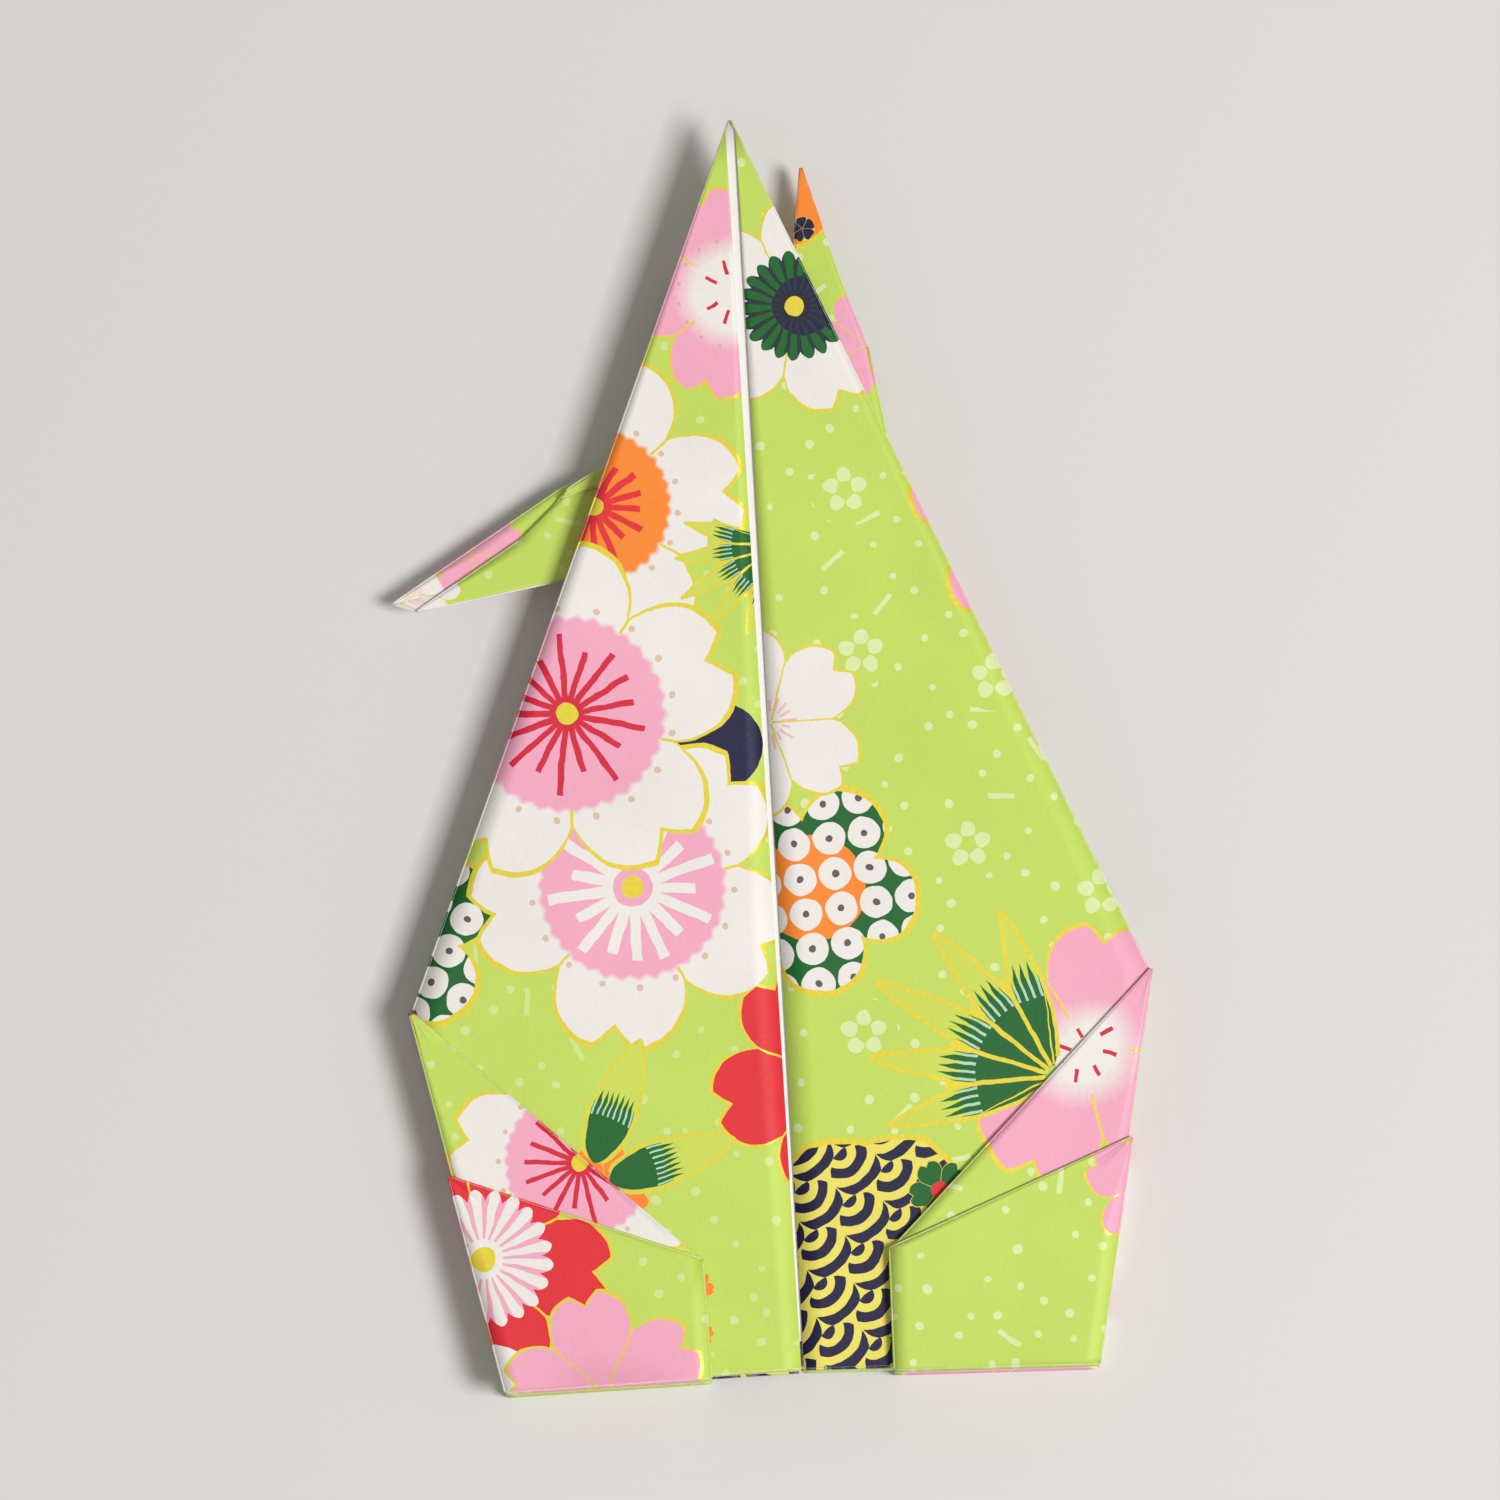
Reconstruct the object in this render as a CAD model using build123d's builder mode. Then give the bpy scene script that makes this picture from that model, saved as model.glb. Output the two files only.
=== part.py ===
"""An origami crane, folded flat from one square of paper and lying on its back wing.

The crane is drawn as it lies: the wing tip points along +Y and the beak along -X.
The sheet has sixteen layers above its middle plane and the same sixteen below it.
Each panel is the sheet cut back to the fold lines around it, and each fold is a
bend that carries the paper from one layer to another.
"""

import os
from math import cos, radians, sin, tan

from build123d import *

# The square of paper: its side, its thickness, and the air between two layers
sheet_side = 150.0
paper = 0.10
air = 0.03
# Room between a cut edge and the spine of a leg
cut_margin = 0.05

# The narrowing folds: their angle from the crane's axis, and half the width that
# they leave at the waist
narrow_angle = 11.8
narrow_half_width = 17.95
# The legs fold up this far below the waist, and lean outwards by these angles
leg_fold_drop = 1.6
neck_lean = 1.0
tail_lean = 3.2
# The head: its length to the tip of the beak, and how far it turns from the neck
head_length = 22.0
head_turn = 98.0

# Lengths that the folding itself sets
half_side = sheet_side / 2
waist_reach = half_side * tan(radians(22.5))
pitch = paper + air

# The layers above the middle plane, from the middle outwards
layers = ["leg head", "face head", "face flap head", "leg flap head"]
layers += ["leg flap up", "face flap up", "face up", "leg up"]
layers += ["leg", "hump", "lining", "face"]
layers += ["face flap", "lining flap", "hump flap", "leg flap"]
middle = len(layers) * pitch - air / 2
underside = {name: middle + air / 2 + pitch * step for step, name in enumerate(layers)}

# How far the paper stops short of the middle line: at the spine of the body, at the
# spine of a leg that lies inside it, and at the cut edges inside that
body_spine = air / 2
leg_spine = body_spine + paper + air
cut_edge = leg_spine + paper + cut_margin


def line(x, y, outward):
    """A fold line in plan: an upright plane through a point, facing away from the paper."""
    return Plane((x, y, 0), z_dir=(cos(radians(outward)), sin(radians(outward)), 0))


def turned(fold, over):
    """The same fold line after the paper has been turned over along another one."""
    across = over.z_dir
    origin = fold.origin - across * (2 * (fold.origin - over.origin).dot(across))
    facing = fold.z_dir - across * (2 * fold.z_dir.dot(across))
    return Plane(origin, z_dir=facing)


def wrap(fold, turn=0):
    """An edge at a fold line, where the paper goes round this many other layers."""
    return fold, turn * pitch + paper


def short(fold, gap):
    """An edge that stops short of a line by a gap."""
    return fold, -gap


panels = []
bends = []


def panel(layer, *edges):
    """Note down a flat panel by its layer and its edges."""
    panels.append((layer, edges))
    return layer, edges


def bend(one, other, edge):
    """Note down the paper that joins two panels along an edge that they share."""
    lower, upper = sorted([one, other], key=lambda item: underside[item[0]])
    bends.append((underside[lower[0]], underside[upper[0]] + paper, lower[1] + upper[1], edge))


def spine(one, edge):
    """Note down the paper that joins a panel to its twin below the middle plane."""
    bends.append((middle, underside[one[0]] + paper, one[1], edge))


def cut_back(edges):
    """Corners of the sheet in plan, cut back to each of these edges in turn."""
    corners = [Vector(x, y) * sheet_side for x, y in ((-1, -1), (1, -1), (1, 1), (-1, 1))]
    for fold, reach in edges:
        depths = [(corner, (corner - fold.origin).dot(fold.z_dir) - reach) for corner in corners]
        corners = []
        for (here, depth), (after, beyond) in zip(depths, depths[1:] + depths[:1]):
            if depth <= 0:
                corners.append(here)
            # The outline crosses the edge somewhere between two corners
            if depth * beyond < 0:
                corners.append(here + (after - here) * (depth / (depth - beyond)))
    return corners


# The lines of the bird base on the right-hand side, and the fold that narrows it
right = Plane.YZ
wing_edge = line(0, half_side, 22.5)
leg_edge = line(0, -half_side, -22.5)
hump_edge = line(0, waist_reach, 45)
narrowing = line(narrow_half_width, 0, -narrow_angle)
middle_line = line(0, 0, 180)
waist = line(0, 0, -90)

# The lining of the wing and the hump lie across both sides and meet at the waist
across = [wrap(fold) for fold in (wing_edge, turned(wing_edge, right), waist)]
across += [wrap(fold, 1) for fold in (narrowing, turned(narrowing, right))]
lining = panel("lining", *across)
across = [wrap(fold) for fold in (hump_edge, turned(hump_edge, right), waist)]
across += [wrap(fold, 2) for fold in (narrowing, turned(narrowing, right))]
hump = panel("hump", *across)
bend(lining, hump, wrap(waist))

for lean, is_neck in ((tail_lean, False), (neck_lean, True)):
    leg_fold = line(0, -leg_fold_drop, -90 - lean / 2)
    tip = turned(line(0, -half_side, 0), leg_fold).origin
    throat = tip - head_length * Vector(sin(radians(lean)), cos(radians(lean)), 0)
    head_fold = line(throat.X, throat.Y, 180 - lean - head_turn / 2)
    base = [wing_edge, leg_edge, hump_edge, narrowing, middle_line, leg_fold, head_fold]
    if is_neck:
        base = [turned(fold, right) for fold in base]
    wing, side, top, crease, centre, rise, neck = base

    # The body: the face that carries the cut edge, and the leg half behind the hump
    face = panel("face", wrap(wing), wrap(crease), short(centre, cut_edge), wrap(rise, 1), wrap(side))
    leg = panel("leg", wrap(top), wrap(crease, 3), short(centre, body_spine), wrap(rise), wrap(side))
    bend(face, lining, wrap(wing))
    bend(hump, leg, wrap(top))
    spine(leg, short(centre, body_spine))

    # The corner that the narrowing fold turns over onto the face
    wing_over, side_over, top_over, waist_over = [
        turned(fold, crease) for fold in (wing, side, top, waist)
    ]
    face_flap = panel("face flap", wrap(crease), wrap(wing_over), wrap(side_over, 2), wrap(rise, 2))
    lining_flap = panel("lining flap", wrap(crease, 1), wrap(wing_over), wrap(waist_over))
    hump_flap = panel("hump flap", wrap(crease, 2), wrap(top_over), wrap(waist_over))
    leg_flap = panel("leg flap", wrap(crease, 3), wrap(top_over), wrap(side_over, 2), wrap(rise, 3))
    bend(face, face_flap, wrap(crease))
    bend(lining, lining_flap, wrap(crease, 1))
    bend(hump, hump_flap, wrap(crease, 2))
    bend(leg, leg_flap, wrap(crease, 3))
    bend(face_flap, lining_flap, wrap(wing_over))
    bend(lining_flap, hump_flap, wrap(waist_over))
    bend(hump_flap, leg_flap, wrap(top_over))
    bend(face_flap, leg_flap, wrap(side_over, 2))

    # The leg, turned up between the wings along the fold at the flat end
    crease_up, centre_up, side_up, over_up = [
        turned(fold, rise) for fold in (crease, centre, side, side_over)
    ]
    stops = [[wrap(neck, turn)] if is_neck else [] for turn in range(4)]
    leg_edges = [wrap(crease_up, 1), short(centre_up, leg_spine), wrap(side_up), *stops[3]]
    face_edges = [wrap(crease_up), short(centre_up, cut_edge), wrap(side_up), *stops[2]]
    face_flap_edges = [wrap(crease_up), wrap(over_up), wrap(side_up), *stops[1]]
    leg_flap_edges = [wrap(crease_up, 1), wrap(over_up), wrap(side_up), *stops[0]]
    leg_up = panel("leg up", wrap(rise), *leg_edges)
    face_up = panel("face up", wrap(rise, 1), *face_edges)
    face_flap_up = panel("face flap up", wrap(rise, 2), *face_flap_edges)
    leg_flap_up = panel("leg flap up", wrap(rise, 3), *leg_flap_edges)
    bend(leg, leg_up, wrap(rise))
    bend(face, face_up, wrap(rise, 1))
    bend(face_flap, face_flap_up, wrap(rise, 2))
    bend(leg_flap, leg_flap_up, wrap(rise, 3))
    bend(face_up, face_flap_up, wrap(crease_up))
    bend(leg_up, leg_flap_up, wrap(crease_up, 1))
    bend(face_flap_up, leg_flap_up, wrap(over_up))
    bend(face_up, leg_up, wrap(side_up))
    spine(leg_up, short(centre_up, leg_spine))

    # The head, turned down inside the neck so that the beak comes out on the open side
    if is_neck:
        crease_in, centre_in, side_in, over_in = [
            turned(fold, neck) for fold in (crease_up, centre_up, side_up, over_up)
        ]
        inside = [wrap(side_in), short(centre_up, cut_edge)]
        leg_head = panel("leg head", wrap(neck, 3), wrap(crease_in, 1), short(centre_in, 0), *inside)
        face_head = panel("face head", wrap(neck, 2), wrap(crease_in), short(centre_in, cut_edge), *inside)
        face_flap_head = panel("face flap head", wrap(neck, 1), wrap(crease_in), wrap(over_in), *inside)
        leg_flap_head = panel("leg flap head", wrap(neck), wrap(crease_in, 1), wrap(over_in), *inside)
        bend(leg_flap_up, leg_flap_head, wrap(neck))
        bend(face_flap_up, face_flap_head, wrap(neck, 1))
        bend(face_up, face_head, wrap(neck, 2))
        bend(leg_up, leg_head, wrap(neck, 3))
        bend(face_head, face_flap_head, wrap(crease_in))
        bend(leg_head, leg_flap_head, wrap(crease_in, 1))
        bend(face_flap_head, leg_flap_head, wrap(over_in))
        bend(face_head, leg_head, wrap(side_in))
        spine(leg_head, short(centre_in, 0))

# The whole sheet: every panel and bend above the middle plane, mirrored below it
stack = [(underside[layer], paper, edges) for layer, edges in panels]
for bottom, top, edges, (fold, reach) in bends:
    inner_side = Plane(fold.origin, z_dir=-fold.z_dir), paper - reach
    stack.append((bottom, top - bottom, edges + (inner_side,)))
with BuildPart() as folded:
    pieces = []
    for bottom, height, edges in stack:
        corners = cut_back(edges)
        # A flap that ends short of the next fold leaves no paper beyond it
        if len(corners) > 2:
            with BuildSketch(Plane.XY.offset(bottom)) as outline:
                Polygon(*corners, align=None)
            pieces.append(extrude(outline.sketch, amount=height, mode=Mode.PRIVATE))
    add(pieces)
    mirror(about=Plane.XY.offset(middle))

# The crane on the table, with the middle of its outline over the origin
outline_middle = folded.part.bounding_box().center()
with BuildPart() as paper_crane:
    add(folded.part.moved(Location((-outline_middle.X, -outline_middle.Y, 0))))

os.makedirs("parts", exist_ok=True)
paper_crane.part.label = "paper_crane"
export_step(paper_crane.part, "parts/paper_crane.step")
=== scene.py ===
# %% [markdown]
# # A paper crane, folded flat from one printed square
#
# The crane lies on a pale table with its front wing up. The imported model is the
# fixed frame: it says where the folded paper is and how big it is. Here the same
# folds are made again as thin bent paper, so that the print can follow the sheet.

import bpy
import numpy as np
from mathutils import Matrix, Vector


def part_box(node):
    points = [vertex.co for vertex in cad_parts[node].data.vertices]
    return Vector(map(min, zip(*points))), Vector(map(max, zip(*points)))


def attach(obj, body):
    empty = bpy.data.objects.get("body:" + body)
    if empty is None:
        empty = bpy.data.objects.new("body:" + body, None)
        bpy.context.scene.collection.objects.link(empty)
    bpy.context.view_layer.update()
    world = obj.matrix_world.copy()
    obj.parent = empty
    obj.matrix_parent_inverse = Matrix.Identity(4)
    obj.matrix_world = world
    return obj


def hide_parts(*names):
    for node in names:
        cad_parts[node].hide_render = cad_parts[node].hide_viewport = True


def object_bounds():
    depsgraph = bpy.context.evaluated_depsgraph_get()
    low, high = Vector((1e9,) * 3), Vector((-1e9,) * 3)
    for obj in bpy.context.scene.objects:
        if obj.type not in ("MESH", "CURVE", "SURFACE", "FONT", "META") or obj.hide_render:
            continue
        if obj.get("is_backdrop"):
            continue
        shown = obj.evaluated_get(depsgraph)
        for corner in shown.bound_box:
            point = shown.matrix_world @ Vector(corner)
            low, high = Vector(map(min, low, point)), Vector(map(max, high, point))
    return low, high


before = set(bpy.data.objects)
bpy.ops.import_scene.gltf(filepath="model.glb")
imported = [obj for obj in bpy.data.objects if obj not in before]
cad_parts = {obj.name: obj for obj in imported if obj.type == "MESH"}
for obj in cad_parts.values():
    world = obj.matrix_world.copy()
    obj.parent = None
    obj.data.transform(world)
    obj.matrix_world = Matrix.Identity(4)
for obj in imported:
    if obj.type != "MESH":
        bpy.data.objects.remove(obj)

cad_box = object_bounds()
low, high = (np.array(corner) * 1000 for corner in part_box("paper_crane"))
print("packed crane, mm:", np.round(high - low, 3))

# %% [markdown]
# ## The folds
#
# A fold on a flat sheet is a straight line, and a panel is all the paper on the inner
# side of the lines around it. So a line is kept as three numbers: the direction that
# points off the paper, and how far along it the line lies. Folding along a line is a
# mirror, which makes every later line from the few that the folder creases first.

# %% Fold lines
sheet_side, paper, air, cut_margin = 150.0, 0.10, 0.03, 0.05
narrow_angle, narrow_half_width, leg_fold_drop = 11.8, 17.95, 1.6
neck_lean, tail_lean, head_length, head_turn = 1.0, 3.2, 22.0, 98.0
half_side = sheet_side / 2
waist_reach = half_side * np.tan(np.radians(22.5))
pitch = paper + air


def line(x, y, outward):
    """A line through a point: its outward unit normal, and its distance along that normal."""
    normal = np.array([np.cos(np.radians(outward)), np.sin(np.radians(outward))])
    return np.append(normal, normal @ (x, y))


def turned(fold, over):
    """A line mirrored in another: it loses twice its share along the other's normal."""
    return fold - 2 * (fold[:2] @ over[:2]) * over


right = line(0, 0, 0)
wing_edge = line(0, half_side, 22.5)
leg_edge = line(0, -half_side, -22.5)
hump_edge = line(0, waist_reach, 45)
narrowing = line(narrow_half_width, 0, -narrow_angle)
middle_line = line(0, 0, 180)
waist = line(0, 0, -90)
print("waist reach, mm:", round(waist_reach, 3))

# %% [markdown]
# ## Where each panel was on the flat sheet
#
# The print was on the paper before it was folded. Each panel therefore carries a map
# back to the flat square: a turn and a shift. Folding along a line adds one mirror to
# the map, so the print runs over every fold without a break, as it does on real paper.

# %% Maps back to the sheet
def refold(place, over):
    """A panel's map (turn, shift) after folding: the mirror in a line, then the old map."""
    turn, shift = place
    normal, reach = over[:2], over[2]
    return turn - 2 * np.outer(turn @ normal, normal), shift + 2 * reach * (turn @ normal)


on_hump = (-np.eye(2), np.array([0, waist_reach]))
on_lining = refold(on_hump, waist)
print("wing tip on the sheet, mm:", np.round(on_lining[0] @ (0, half_side) + on_lining[1], 2))

# %% [markdown]
# ## The panels and the bends between them
#
# The folded crane has sixteen layers above its middle plane and the same below. A
# panel is noted by its layer, its edges and its map. An edge is a line and a reach:
# how far past the line the paper goes when it wraps round other layers. A bend joins
# two panels that share an edge, and a spine joins a panel to its twin underneath.

# %% Note down every panel and bend
layers = ["leg head", "face head", "face flap head", "leg flap head"]
layers += ["leg flap up", "face flap up", "face up", "leg up"]
layers += ["leg", "hump", "lining", "face"]
layers += ["face flap", "lining flap", "hump flap", "leg flap"]
body_spine = air / 2
leg_spine = body_spine + paper + air
cut_edge = leg_spine + paper + cut_margin
slit_start, slit_angle, head_slit = 0.09, 0.16, 0.1
panels, bends, spines = {}, [], []


def wrap(fold, turn=0):
    """An edge whose bend goes round this many layers; the reach is to the bend's start."""
    return np.append(fold, turn * pitch + (paper - pitch) / 2)


def tuck(fold, gap):
    """A spine edge that stops short of a line by a gap, to the start of its bend."""
    return np.append(fold, -gap - (paper + pitch) / 2)


def cut(fold):
    """A cut edge of the sheet beside the middle line."""
    return np.append(fold, -cut_edge)


def panel(key, place, *edges):
    """Note a panel under its side and layer; the edges become rows of one array."""
    panels[key] = dict(step=layers.index(key[1]), place=place, edges=np.array(edges))
    return key


across = [wrap(fold) for fold in (wing_edge, turned(wing_edge, right), waist)]
across += [wrap(fold, 1) for fold in (narrowing, turned(narrowing, right))]
lining = panel(("both", "lining"), on_lining, *across)
across = [wrap(fold) for fold in (hump_edge, turned(hump_edge, right), waist)]
across += [wrap(fold, 2) for fold in (narrowing, turned(narrowing, right))]
hump = panel(("both", "hump"), on_hump, *across)
bends.append((hump, lining, wrap(waist)))

# %% The two sides: the tail on the right, the neck and head on the left
for side, lean in (("tail", tail_lean), ("neck", neck_lean)):
    leg_fold = line(0, -leg_fold_drop, -90 - lean / 2)
    drop = -half_side * leg_fold[1] - leg_fold[2]
    tip = np.array([0, -half_side]) - 2 * drop * leg_fold[:2]
    along = np.radians(lean)
    throat = tip - head_length * np.array([np.sin(along), np.cos(along)])
    head_fold = line(*throat, 180 - lean - head_turn / 2)
    # The two cut edges of the front draw apart a little towards the wing tip
    slit_edge = line(slit_start, 0, 180 - slit_angle)
    base = [wing_edge, leg_edge, hump_edge, narrowing, middle_line, leg_fold, head_fold, slit_edge]
    if side == "neck":
        base = [turned(fold, right) for fold in base]
    wing, edge, top, crease, centre, rise, neck, slit = base
    wing_over, over, top_over, waist_over = [turned(f, crease) for f in (wing, edge, top, waist)]
    crease_up, centre_up, edge_up, over_up = [turned(f, rise) for f in (crease, centre, edge, over)]
    stops = [[wrap(neck, turn)] if side == "neck" else [] for turn in range(4)]

    # The flat body: for each layer its map to the sheet, then its edges
    on_face, on_leg = refold(on_lining, wing), refold(on_hump, top)
    on_face_flap, on_lining_flap = refold(on_face, crease), refold(on_lining, crease)
    on_hump_flap, on_leg_flap = refold(on_hump, crease), refold(on_leg, crease)
    body = {
        "face": [on_face, wrap(wing), wrap(crease), np.append(slit, 0), wrap(rise, 1), wrap(edge)],
        "leg": [
            on_leg, wrap(top), wrap(crease, 3), tuck(centre, body_spine), wrap(rise), wrap(edge),
        ],
        "face flap": [on_face_flap, wrap(crease), wrap(wing_over), wrap(over, 2), wrap(rise, 2)],
        "lining flap": [on_lining_flap, wrap(crease, 1), wrap(wing_over), wrap(waist_over)],
        "hump flap": [on_hump_flap, wrap(crease, 2), wrap(top_over), wrap(waist_over)],
        "leg flap": [on_leg_flap, wrap(crease, 3), wrap(top_over), wrap(over, 2), wrap(rise, 3)],
    }
    face, leg, face_flap, lining_flap, hump_flap, leg_flap = [
        panel((side, layer), *row) for layer, row in body.items()
    ]
    bends += [(lining, face, wrap(wing)), (leg, hump, wrap(top)), (face, face_flap, wrap(crease))]
    bends += [(lining, lining_flap, wrap(crease, 1)), (hump, hump_flap, wrap(crease, 2))]
    bends += [(leg, leg_flap, wrap(crease, 3))]
    bends += [(face_flap, lining_flap, wrap(wing_over)), (lining_flap, hump_flap, wrap(waist_over))]
    bends += [(hump_flap, leg_flap, wrap(top_over)), (face_flap, leg_flap, wrap(over, 2))]
    spines.append((leg, tuck(centre, body_spine)))

    # The leg turned up between the wings; the neck's leg stops at the head
    on_up = [refold(place, rise) for place in (on_leg, on_face, on_face_flap, on_leg_flap)]
    raised_leg = {
        "leg up": [wrap(rise), wrap(crease_up, 1), tuck(centre_up, leg_spine), wrap(edge_up)],
        "face up": [wrap(rise, 1), wrap(crease_up), cut(centre_up), wrap(edge_up)],
        "face flap up": [wrap(rise, 2), wrap(crease_up), wrap(over_up), wrap(edge_up)],
        "leg flap up": [wrap(rise, 3), wrap(crease_up, 1), wrap(over_up), wrap(edge_up)],
    }
    ups = [
        panel((side, layer), place, *edges, *stop)
        for (layer, edges), place, stop in zip(raised_leg.items(), on_up, stops[::-1])
    ]
    leg_up, face_up, face_flap_up, leg_flap_up = ups
    flats = [leg, face, face_flap, leg_flap]
    bends += [(up, flat, wrap(rise, turn)) for turn, (up, flat) in enumerate(zip(ups, flats))]
    bends += [(face_flap_up, face_up, wrap(crease_up)), (leg_flap_up, leg_up, wrap(crease_up, 1))]
    bends += [(leg_flap_up, face_flap_up, wrap(over_up)), (face_up, leg_up, wrap(edge_up))]
    spines.append((leg_up, tuck(centre_up, leg_spine)))

    # The head turned down inside the neck
    if side == "neck":
        neck_lines = (crease_up, centre_up, edge_up, over_up)
        crease_in, centre_in, edge_in, over_in = [turned(f, neck) for f in neck_lines]
        turned_in = {
            "leg head": [wrap(neck, 3), wrap(crease_in, 1), tuck(centre_in, 0)],
            "face head": [wrap(neck, 2), wrap(crease_in), np.append(centre_in, -head_slit)],
            "face flap head": [wrap(neck, 1), wrap(crease_in), wrap(over_in)],
            "leg flap head": [wrap(neck), wrap(crease_in, 1), wrap(over_in)],
        }
        heads = [
            panel((side, layer), refold(place, neck), *edges, wrap(edge_in), cut(centre_up))
            for (layer, edges), place in zip(turned_in.items(), on_up)
        ]
        leg_head, face_head, face_flap_head, leg_flap_head = heads
        pairs = zip(heads[::-1], ups[::-1])
        bends += [(head, up, wrap(neck, turn)) for turn, (head, up) in enumerate(pairs)]
        bends += [(face_head, face_flap_head, wrap(crease_in))]
        bends += [(leg_head, leg_flap_head, wrap(crease_in, 1))]
        bends += [(face_flap_head, leg_flap_head, wrap(over_in))]
        bends += [(leg_head, face_head, wrap(edge_in))]
        spines.append((leg_head, tuck(centre_in, 0)))
print("panels above the middle plane:", len(panels), " bends:", len(bends), " spines:", len(spines))

# %% [markdown]
# ## How high each layer lies
#
# Pressed paper is tight where many layers lie on each other and springs open where
# few do. So the layers are even at the flat end and fan out towards the wing tip,
# until the back wing touches the table. The flaps on the front lift a little towards
# their free edges, and the front wing has the slight waves of handled paper.

# %% Heights
middle = len(layers) * pitch - air / 2
fan, flap_lift, wave_height, tip_lift = 0.33, 0.22, 0.05, 0.5


def ease(value, start, end):
    """A smooth rise from 0 at start to 1 at end: three times its square less twice its cube."""
    share = np.clip((value - start) / (end - start), 0, 1)
    return share * share * (3 - 2 * share)


def height(step, half, x, y):
    """Middle of a layer: its place in the stack, spread by the fan, plus lift and waves."""
    stack = (air + paper) / 2 + pitch * step
    level = half * stack * (1 + fan * ease(y, 12, 78))
    if half > 0:
        inward = narrow_half_width - np.abs(x) + np.tan(np.radians(narrow_angle)) * y
        flap = ease(inward, 0.5, 14) * (step >= layers.index("face flap"))
        wave = np.sin(0.11 * y + 0.5) * np.sin(0.19 * x + 1.1)
        spring = wave_height * wave + tip_lift * ease(y, 30, 80)
        level = level + flap_lift * flap + spring * (step >= layers.index("lining"))
    return middle + level


wing_tip = height(layers.index("face"), 1, 0.0, half_side)
print("front wing tip rises to", round(float(wing_tip), 2), "mm")

# %% [markdown]
# ## From panels to one sheet of paper
#
# A panel is a function of two parameters: how far up it a row lies, and how far
# across the row a point lies. A bend is a small rounded profile carried along the
# fold. Both are worked out as whole arrays, with the point's place on the flat sheet
# beside its place on the crane, and then all of them become one mesh.

# %% Panels as surfaces
hair, no_limit = 1e-6, 200.0


def corners_of(edges):
    """Where two of the edges cross and no other edge cuts the crossing off."""
    first, second = np.triu_indices(len(edges), 1)
    normals, reach = edges[:, :2], edges[:, 2] + edges[:, 3]
    pairs = np.stack([normals[first], normals[second]], 1)
    crossing = np.abs(np.linalg.det(pairs)) > hair
    reaches = np.stack([reach[first], reach[second]], 1)[crossing]
    points = np.linalg.solve(pairs[crossing], reaches[..., None])[..., 0]
    return points[(points @ normals.T <= reach + hair).all(1)]


def panel_surface(edges, across, row):
    """Rows at set heights; along a row, x goes evenly from the left edge to the right edge."""
    corners = corners_of(edges)
    if len(corners) < 3:
        return None
    ends = np.unique(np.round(corners[:, 1], 5))
    counts = np.ceil(np.diff(ends) / row).astype(int) + 1
    rows = [np.linspace(a, b, count) for a, b, count in zip(ends, ends[1:], counts)]
    y = np.unique(np.concatenate(rows))[:, None]
    leaning = edges[np.abs(edges[:, 0]) > hair]
    bound = (leaning[:, 2] + leaning[:, 3] - leaning[:, 1] * y) / leaning[:, 0]
    left = np.where(leaning[:, 0] < 0, bound, -np.inf).max(1, keepdims=True)
    far = np.maximum(np.where(leaning[:, 0] > 0, bound, np.inf).min(1, keepdims=True), left)
    return left + (far - left) * np.linspace(0, 1, across), np.repeat(y, across, 1)


# %% Bends as carried profiles
shortest_bend, corner_reach, arc_points = 0.02, 1.0, 4


def span(edges, fold):
    """How far a panel goes along one of its folds: the tightest of its other edges each way."""
    forward = np.array([-fold[1], fold[0]])
    start = fold[:2] * (fold[2] + fold[3])
    slope = edges[:, :2] @ forward
    room = edges[:, 2] + edges[:, 3] - edges[:, :2] @ start
    crossing = np.abs(slope) > hair
    room, slope = room[crossing], slope[crossing]
    bound = room / slope
    return bound[slope < 0].max(initial=-no_limit), bound[slope > 0].min(initial=no_limit)


def bend_surface(one, other, fold, halves, pieces):
    """A quarter circle out, straight up, and a quarter circle back, carried along the fold."""
    ranges = np.array([span(panels[key]["edges"], fold) for key in (one, other)])
    begin, end = ranges[:, 0].max(), ranges[:, 1].min()
    if end - begin < shortest_bend:
        return None
    # Where one panel goes on past the other, the bend follows it a little to close the corner
    begin = max(begin - corner_reach, ranges[:, 0].min())
    end = min(end + corner_reach, ranges[:, 1].max())
    forward = np.array([-fold[1], fold[0]])
    u = np.linspace(begin, end, pieces)[:, None, None]
    line_points = fold[:2] * (fold[2] + fold[3]) + u * forward
    x, y = line_points[..., 0], line_points[..., 1]
    z = [height(panels[key]["step"], half, x, y) for key, half in zip((one, other), halves)]
    swing = np.radians(np.linspace(0, 90, arc_points))
    out = np.concatenate([np.sin(swing), np.cos(swing)]) * pitch / 2
    curl = np.concatenate([1 - np.cos(swing), 1 - np.sin(swing)])
    gap = z[1] - z[0]
    radius = np.minimum(pitch / 2, np.abs(gap) / 2) * np.sign(gap)
    on_first_arc = np.arange(2 * arc_points) < arc_points
    rise_to = np.where(on_first_arc, z[0] + curl * radius, z[1] - curl * radius)
    share = np.linspace(0, 1, 2 * arc_points)
    return x + fold[0] * out, y + fold[1] * out, rise_to, x, y, share


# %% Gather all surfaces
points_across, row_spacing, bend_points = 15, 2.5, 24
points, sheet_places, quads, creased, in_head, in_tail = [], [], [], [], [], []
mirror_sheet = {1: np.eye(2), -1: np.diag([1.0, -1.0])}


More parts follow.
